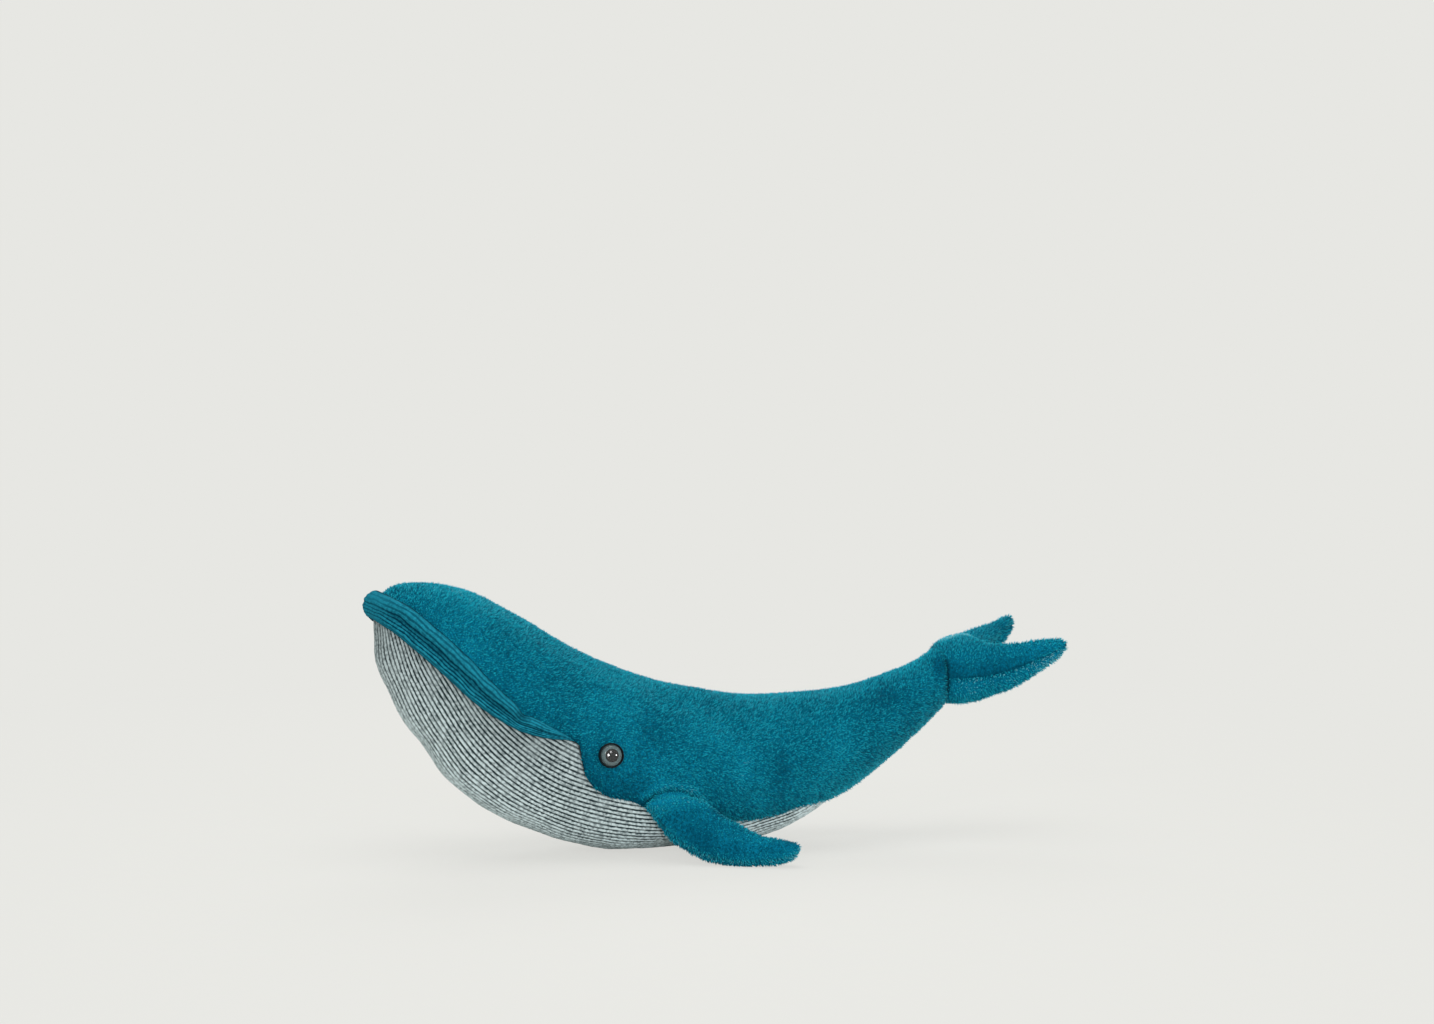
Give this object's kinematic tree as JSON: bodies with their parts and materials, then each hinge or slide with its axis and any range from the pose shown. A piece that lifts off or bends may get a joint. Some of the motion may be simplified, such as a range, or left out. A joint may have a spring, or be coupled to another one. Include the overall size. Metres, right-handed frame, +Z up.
{
  "type": "plush whale",
  "caption": "Stuffed toy whale lying on its belly: plush back, ribbed throat, padded mouth roll, bead eyes, hinged side fins and upturned tail flukes.",
  "frame": {"origin": "middle of the footprint, at the level of the floor the toy lies on", "axes": "+X from the snout towards the tail, -Y towards the whale's left side (the side in the picture), +Z up"},
  "size_m": [0.527, 0.2312, 0.2043],
  "materials": {
    "teal_pile": "short brushed pile",
    "teal_under": "short brushed pile, lighter",
    "teal_cord": "ribbed cord, ribs run along the mouth",
    "grey_cord": "ribbed cord, ribs run from the chin to the rear",
    "fibre_fill": "loose fibre",
    "pouch_cotton": "plain weave",
    "pellets": "small round pellets",
    "eye_black": "polished",
    "eye_iris": "silvery teal film",
    "eye_clear": "clear, polished",
    "washer": "moulded"
  },
  "bodies": {
    "body": {"side_panel_left": "teal_pile", "side_panel_right": "teal_pile", "belly_panel": "grey_cord", "lip_roll": "teal_cord", "head_filling": "fibre_fill", "torso_filling": "fibre_fill", "tail_filling": "fibre_fill", "bean_pouch": "pouch_cotton", "bean_fill": "pellets", "eye_cup_left": "eye_black", "eye_iris_left": "eye_iris", "eye_lens_left": "eye_clear", "eye_washer_left": "washer", "eye_cup_right": "eye_black", "eye_iris_right": "eye_iris", "eye_lens_right": "eye_clear", "eye_washer_right": "washer"},
    "fin_left": {"fin_left_upper": "teal_pile", "fin_left_under": "teal_under", "fin_left_filling": "fibre_fill"},
    "fin_right": {"fin_right_upper": "teal_pile", "fin_right_under": "teal_under", "fin_right_filling": "fibre_fill"},
    "flukes": {"flukes_upper": "teal_pile", "flukes_under": "teal_under", "flukes_filling": "fibre_fill"}
  },
  "joints": [
    {"name": "fin_left_flap", "type": "hinge", "parent": "body", "child": "fin_left", "pos_m": [-0.047, -0.07267, 0.04069], "axis": [-0.9999, 0.0081, -0.0085], "range_deg": [-6, 65], "stiffness_Nm_per_rad": 0.03},
    {"name": "fin_right_flap", "type": "hinge", "parent": "body", "child": "fin_right", "pos_m": [-0.047, 0.07267, 0.04069], "axis": [0.9999, 0.0081, 0.0085], "range_deg": [-6, 65], "stiffness_Nm_per_rad": 0.03},
    {"name": "flukes_tilt", "type": "hinge", "parent": "body", "child": "flukes", "pos_m": [0.17943, 0, 0.12457], "axis": [0, -1, 0], "range_deg": [-18, 18], "stiffness_Nm_per_rad": 0.4, "springref_deg": 0.8}
  ]
}
